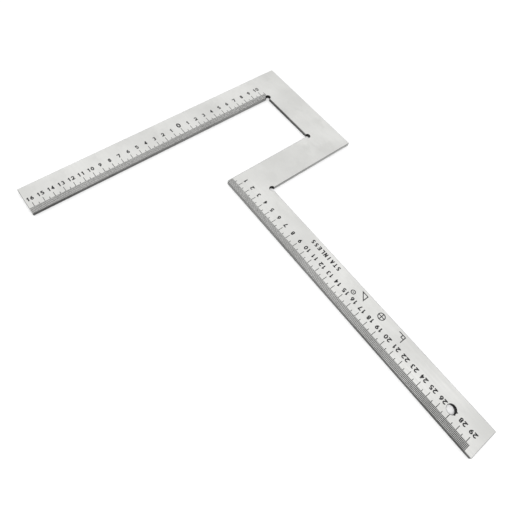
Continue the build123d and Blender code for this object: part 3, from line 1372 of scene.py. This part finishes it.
@dataclass(frozen=True)
class EnamelFinish:
    """Matt black enamel rubbed into an engraved mark.

    Args:
        name: The material's name.
        colour: The enamel's colour.
        worn: The colour where it is rubbed thin.
    """

    name: str
    colour: tuple = (0.012, 0.012, 0.013, 1)
    worn: tuple = (0.075, 0.074, 0.072, 1)
    roughness: float = 0.55

    def material(self, effects: SteelEffects) -> bpy.types.Material:
        """Builds the material.

        Args:
            effects: The shared groups.

        Returns:
            The new material.
        """
        material, sheet, shader = start_material(self.name)
        place = sheet.add("TexCoord").outputs["Object"]
        handling = sheet.group(effects.handling, Vector=place)
        grit = sheet.noise(place, 2600.0, 3.0, 0.6)
        thin = sheet.math("MULTIPLY", sheet.stretch(grit, 0.52, 0.68, 0.0, 1.0), handling.outputs["Cloud"])
        sheet.tree.links.new(blend(sheet, thin, self.colour, self.worn), shader.inputs["Base Color"])
        rough = sheet.stretch(grit, 0.3, 0.7, self.roughness - 0.1, self.roughness + 0.15)
        sheet.tree.links.new(rough, shader.inputs["Roughness"])
        shader.inputs["Specular IOR Level"].default_value = 0.3
        bump = sheet.add("Bump", {"Height": grit, "Distance": 0.02 * MM, "Strength": 0.6})
        sheet.tree.links.new(bump.outputs[0], shader.inputs["Normal"])
        return material


@dataclass(frozen=True)
class FloorFinish:
    """A plain white studio floor."""

    name: str = "studio_floor"
    colour: tuple = (0.93, 0.93, 0.93, 1)

    def material(self) -> bpy.types.Material:
        """Builds the material.

        Returns:
            The new material.
        """
        material, sheet, shader = start_material(self.name)
        place = sheet.add("TexCoord").outputs["Object"]
        tone = sheet.stretch(sheet.noise(place, 3.0, 2.0), 0.3, 0.7, 0.0, 0.02)
        mottled = blend(sheet, tone, self.colour, (0.9, 0.9, 0.9, 1))
        sheet.tree.links.new(mottled, shader.inputs["Base Color"])
        shader.inputs["Roughness"].default_value = 0.9
        shader.inputs["Specular IOR Level"].default_value = 0.0
        return material


# ---------------------------------------------------------------- assembly


@dataclass
class MarkingSquare:
    """The whole tool: the engraved plate and the enamel in its marks.

    Args:
        layout: The plate's sizes.
        effects: The shared shader groups.
    """

    layout: SquareLayout
    effects: SteelEffects
    leg_last: int = 293
    arm_long_last: int = 164
    arm_short_last: int = 105
    leg_numeral_from_edge: float = 15.25 * MM
    arm_numeral_from_edge: float = 15.7 * MM
    zero_numeral_from_edge: float = 17.6 * MM
    zero_numeral_size: float = 6.0 / 4.4
    zero_line: float = 13.5 * MM

    def build(self) -> None:
        """Builds the plate and every group of enamel."""
        blank = Plate(self.layout).blank()
        tools = [(tool, tool.finish()) for tool in self._tools()]
        enamel = {
            "line_infill": EnamelFinish("line_enamel"),
            "numeral_infill": EnamelFinish("numeral_enamel"),
        }
        finishes = {slot: finish.material(self.effects) for slot, finish in enamel.items()}
        for tool, cutter in tools:
            self._fill(tool, cutter, blank, finishes[tool.slot])
        self._engrave(blank, [cutter for _, cutter in tools])
        discard(blank)

    def _tools(self) -> list[EngravingTool]:
        """Builds the engraving tools of every group of marks.

        Returns:
            The tools, one for each node of enamel.
        """
        glyphs = GlyphSet()
        numerals = NumeralRow(self.layout, glyphs)
        tools = LineRow(self.layout, "leg", self.leg_last).tools()
        tools += LineRow(self.layout, "arm_long", self.arm_long_last).tools()
        tools += LineRow(self.layout, "arm_short", self.arm_short_last).tools()
        tools.append(numerals.leg_numbers(self.leg_last // 10, self.leg_numeral_from_edge))
        arm_sides = (("arm_long", self.arm_long_last, -1), ("arm_short", self.arm_short_last, 1))
        for name, last, side in arm_sides:
            count = last // 10
            row = numerals.arm_numbers(name + "_numerals", count, side, self.arm_numeral_from_edge)
            tools.append(row)
        tools += self._zero_marks(numerals)
        tools += PlainMarks(self.layout, numerals).tools()
        glyphs.forget()
        return tools

    def _zero_marks(self, numerals: NumeralRow) -> list[EngravingTool]:
        """Builds the longer line and larger numeral at the arm's zero.

        Args:
            numerals: The row that stamps words.

        Returns:
            The line's and the numeral's tools.
        """
        edge = self.layout.slot_height
        line = EngravingTool(self.layout, "arm_zero_line", "line_infill")
        half = LineRow.line_width / 2
        line.add_line((-half, edge - self.layout.tool_clearance), (half, edge + self.zero_line))
        numeral = EngravingTool(self.layout, "arm_zero_numeral", "numeral_infill")
        centre = (0, edge + self.zero_numeral_from_edge)
        numerals.word(numeral, "0", centre, Reading.ALONG_ARM, size=self.zero_numeral_size)
        return [line, numeral]

    def _fill(
        self, tool: EngravingTool, cutter: bpy.types.Object, blank: bpy.types.Object,
        finish: bpy.types.Material,
    ) -> None:
        """Fills one group of grooves with enamel, level with the face.

        Args:
            tool: The group's tool.
            cutter: Its cutters.
            blank: The plate before engraving.
            finish: The enamel's material.
        """
        piece = boolean(blank, cutter, "INTERSECT", tool.name + "_enamel")
        piece.data.materials.clear()
        piece.data.materials.append(finish)
        for face in piece.data.polygons:
            face.material_index = 0
        smooth_by_angle(piece, 30)
        self._hand_over(piece, tool.name, tool.slot)

    def _engrave(self, blank: bpy.types.Object, cutters: list) -> None:
        """Cuts every groove into the plate and dresses it.

        Args:
            blank: The plate before engraving.
            cutters: The cutters of every group, which are removed.
        """
        bm = bmesh.new()
        for cutter in cutters:
            bm.from_mesh(cutter.data)
            discard(cutter)
        all_cutters = new_piece("all_tools", bm)
        plate = boolean(blank, all_cutters, "DIFFERENCE", "plate_steel")
        discard(all_cutters)
        plate.data.materials.clear()
        for finish in self._steel_finishes():
            plate.data.materials.append(finish.material(self.effects))
        smooth_by_angle(plate, 40)
        Plate(self.layout).set_slots(plate)
        self._hand_over(plate, "plate", "plate_steel")

    def _steel_finishes(self) -> list[SteelFinish]:
        """The plate's finishes in the order of its slots.

        Returns:
            One finish for each slot.
        """
        return [
            SteelFinish(
                "ground_face_steel", (0.82, 0.82, 0.80, 1), (0.69, 0.69, 0.672, 1), 0.42, 0.0012 * MM,
                residue=0.36, scale_edge=self.layout.zero_corner.x,
                last_line=self.layout.zero_corner.y - self.leg_last * MM,
            ),
            # Cut sides: their crosswise grain is their own; their dark colour is the face's steel darkened
            # as painted shade.
            SteelFinish(
                "cut_side_painted_shade", (0.14, 0.14, 0.137, 1), (0.08, 0.08, 0.078, 1), 0.45, 0.004 * MM,
                # The cut sides also carry the painted sheen.
                fineness=0.6, turn=(0, math.pi / 2, 0), scratch_amount=0.3, cleaner=0.42,
            ),
            # Broken edges: the face's steel darkened as painted shade, between the face and the sides.
            SteelFinish(
                "broken_edge_painted_shade", (0.36, 0.36, 0.355, 1), (0.24, 0.24, 0.235, 1), 0.34, 0.001 * MM,
            ),
            # Drilled walls: near black, painted shade for the dark inside of the holes.
            SteelFinish(
                "drilled_wall_painted_shade", (0.04, 0.04, 0.04, 1), (0.02, 0.02, 0.02, 1), 0.5, 0.004 * MM,
                fineness=0.6, scratch_amount=0.2,
            ),
        ]

    @staticmethod
    def _hand_over(piece: bpy.types.Object, node: str, slot: str) -> None:
        """Attaches a finished piece to the root body and hides the CAD node that it replaces.

        Args:
            piece: The finished piece.
            node: The node that it replaces.
            slot: Not used.
        """
        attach(piece, "root")
        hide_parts(node)
        log.info("%s: %d faces", piece.name, len(piece.data.polygons))


# ---------------------------------------------------------------- studio


@dataclass
class Studio:
    """The floor, lights and camera round the tool.

    Args:
        layout: The plate's sizes.
    """

    layout: SquareLayout
    camera_place: tuple = (-0.15422, -0.07943, 0.32591)
    camera_turn: tuple = (26.518, -4.768, -36.81)
    lens: float = 28.87
    shift: float = 0.0626
    surround: tuple = (0.73, 0.95)
    floor_gap: float = 0.1 * MM

    def build(self) -> None:
        """Builds everything round the tool."""
        self._floor()
        self._camera()
        self._world()
        self._soft_box("key_softbox", (-0.35, -0.35, 1.6), 1.2, 14.0)
        view = bpy.context.scene.view_settings
        view.view_transform = "Standard"
        view.look = "None"

    def _floor(self) -> None:
        """Lays the floor just under the plate, clear of its underside."""
        bm = bmesh.new()
        place = Matrix.Translation(UP * (self.layout.low.z - self.floor_gap))
        bmesh.ops.create_grid(bm, x_segments=1, y_segments=1, size=6, matrix=place)
        floor = new_piece("studio_floor", bm)
        floor.data.materials.append(FloorFinish().material())

    def _camera(self) -> None:
        """Sets the camera up."""
        data = bpy.data.cameras.new("camera")
        data.lens = self.lens
        data.sensor_width = 36.0
        data.shift_x = self.shift
        data.clip_start = 0.01
        camera = bpy.data.objects.new("camera", data)
        camera.location = self.camera_place
        camera.rotation_euler = Euler([math.radians(angle) for angle in self.camera_turn], "XYZ")
        bpy.context.scene.collection.objects.link(camera)
        bpy.context.scene.camera = camera

    def _world(self) -> None:
        """Lights everything from a bright surround that fades towards the leg's free end."""
        world = bpy.data.worlds.new("studio_surround")
        world.use_nodes = True
        sheet = NodeSheet(world.node_tree)
        direction = sheet.add("TexCoord").outputs["Generated"]
        side = sheet.add("SeparateXYZ", {"Vector": direction}).outputs["Y"]
        ground = world.node_tree.nodes["Background"]
        ground.inputs["Color"].default_value = (1.0, 1.0, 1.0, 1)
        sheet.tree.links.new(sheet.stretch(side, -0.5, 0.6, *self.surround), ground.inputs["Strength"])
        bpy.context.scene.world = world

    def _soft_box(self, name: str, place: tuple, size: float, power: float) -> None:
        """Hangs a square soft light that faces the plate.

        Args:
            name: The light's name.
            place: Where it hangs.
            size: Its side.
            power: Its power in watts.
        """
        data = bpy.data.lights.new(name, "AREA")
        data.shape = "SQUARE"
        data.size = size
        data.energy = power
        light = bpy.data.objects.new(name, data)
        light.location = place
        light.rotation_euler = (-Vector(place)).to_track_quat("-Z", "Y").to_euler()
        bpy.context.scene.collection.objects.link(light)


def main() -> None:
    """Builds the tool and its studio."""
    logging.basicConfig(level=logging.INFO, format="%(name)s %(message)s", force=True)
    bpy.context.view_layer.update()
    low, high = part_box("plate")
    layout = SquareLayout(Vector(low), Vector(high))
    MarkingSquare(layout, SteelEffects().build()).build()
    Studio(layout).build()
    bpy.context.view_layer.update()


if __name__ == "__main__":
    main()
